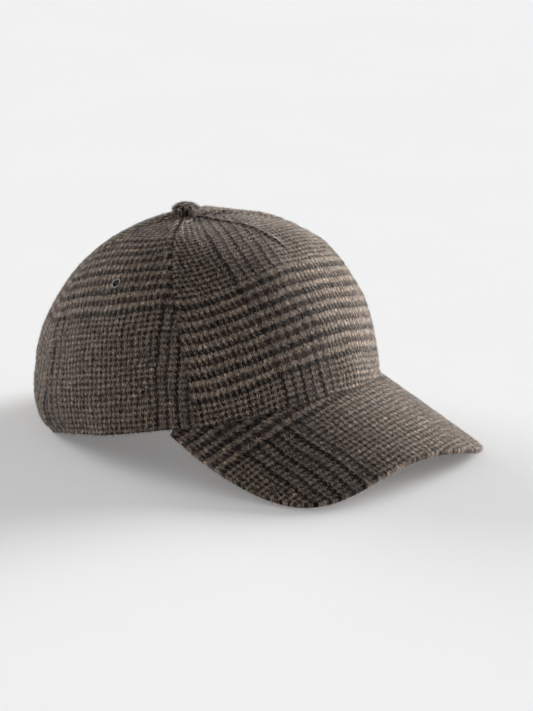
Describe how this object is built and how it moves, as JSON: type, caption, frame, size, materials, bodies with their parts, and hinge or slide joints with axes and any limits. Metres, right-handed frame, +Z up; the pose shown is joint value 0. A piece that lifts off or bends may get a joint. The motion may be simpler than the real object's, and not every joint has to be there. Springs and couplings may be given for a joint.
{
  "type": "five-panel cap",
  "caption": "Five-panel baseball cap in brushed wool glen check, with a front dart, a covered button, side eyelets and a stiff arched peak.",
  "frame": {"origin": "middle of the cap's width and length, on the surface that it lies on", "axes": "+Z up, -Y toward the front of the peak, +X toward the wearer's left"},
  "size_m": [0.1818, 0.2596, 0.1253],
  "materials": {
    "wool_cloth": "brushed wool glen check in charcoal, brown and taupe",
    "gun_metal": "dark gun-metal plating"
  },
  "bodies": {
    "root": {"front_panel": "wool_cloth", "side_panel_right": "wool_cloth", "side_panel_left": "wool_cloth", "back_panel_right": "wool_cloth", "back_panel_left": "wool_cloth", "button": "wool_cloth", "peak": "wool_cloth", "eyelet_right": "gun_metal", "eyelet_left": "gun_metal"}
  },
  "joints": []
}
